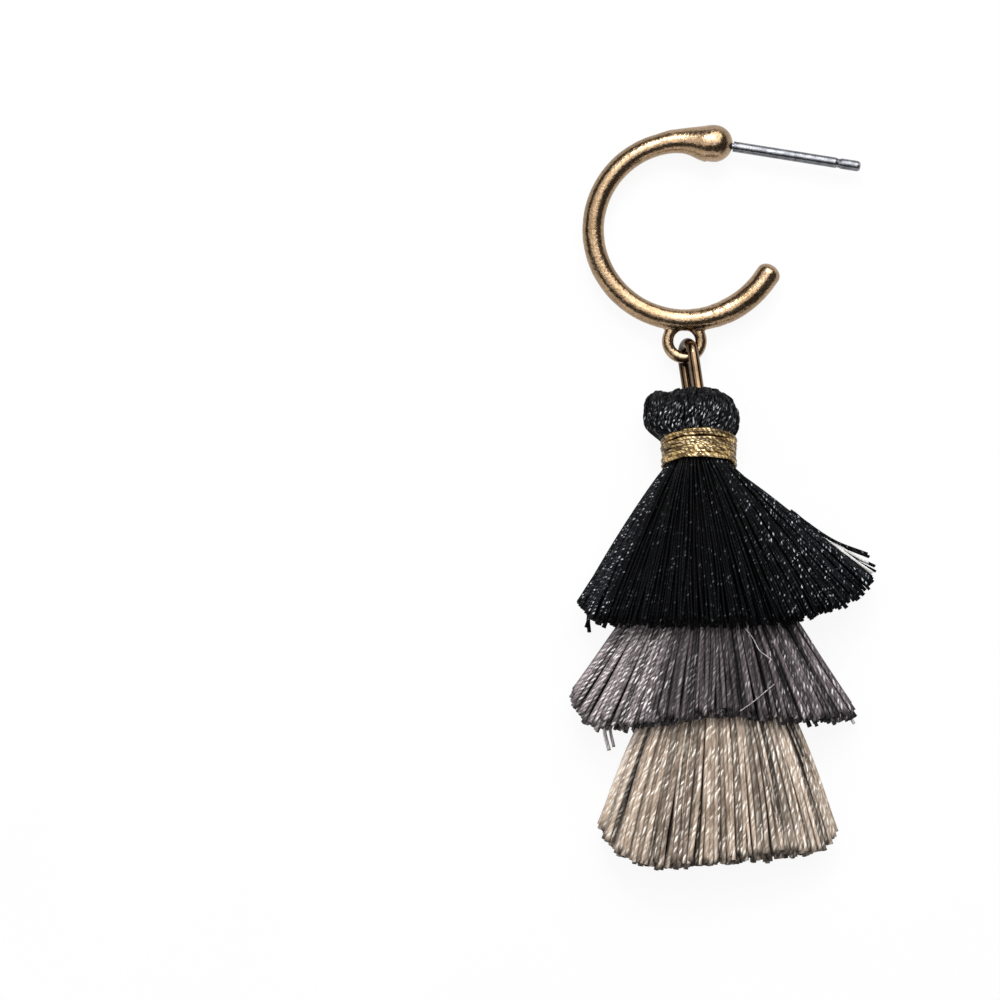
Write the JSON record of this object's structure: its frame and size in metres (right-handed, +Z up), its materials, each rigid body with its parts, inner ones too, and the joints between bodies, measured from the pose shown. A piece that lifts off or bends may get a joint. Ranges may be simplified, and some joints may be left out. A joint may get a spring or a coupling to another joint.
{
  "type": "tassel earring",
  "caption": "Open cast hoop on a straight ear post, with a drop loop and a wire bail that holds a layered thread tassel, laid flat.",
  "frame": {"origin": "the middle of the earring's bounding box, on the surface that it lies on", "axes": "+Z up from the surface, +Y from the hem of the lowest fringe to the hoop, +X to the side that the ear post points to"},
  "size_m": [0.0261, 0.0628, 0.0075],
  "materials": {
    "antique_gold": "antique gold, cast, softly grained",
    "post_steel": "polished steel",
    "bail_gold": "polished gold wire",
    "black_thread": "lustrous twisted thread",
    "wrap_gold": "metallic thread",
    "grey_thread": "lustrous twisted thread",
    "beige_thread": "lustrous twisted thread"
  },
  "bodies": {
    "root": {"hoop": "antique_gold", "ear_post": "post_steel", "bail": "bail_gold", "upper_tassel": "black_thread", "neck_wrap": "wrap_gold", "middle_tassel": "grey_thread", "lower_tassel": "beige_thread"}
  },
  "joints": []
}
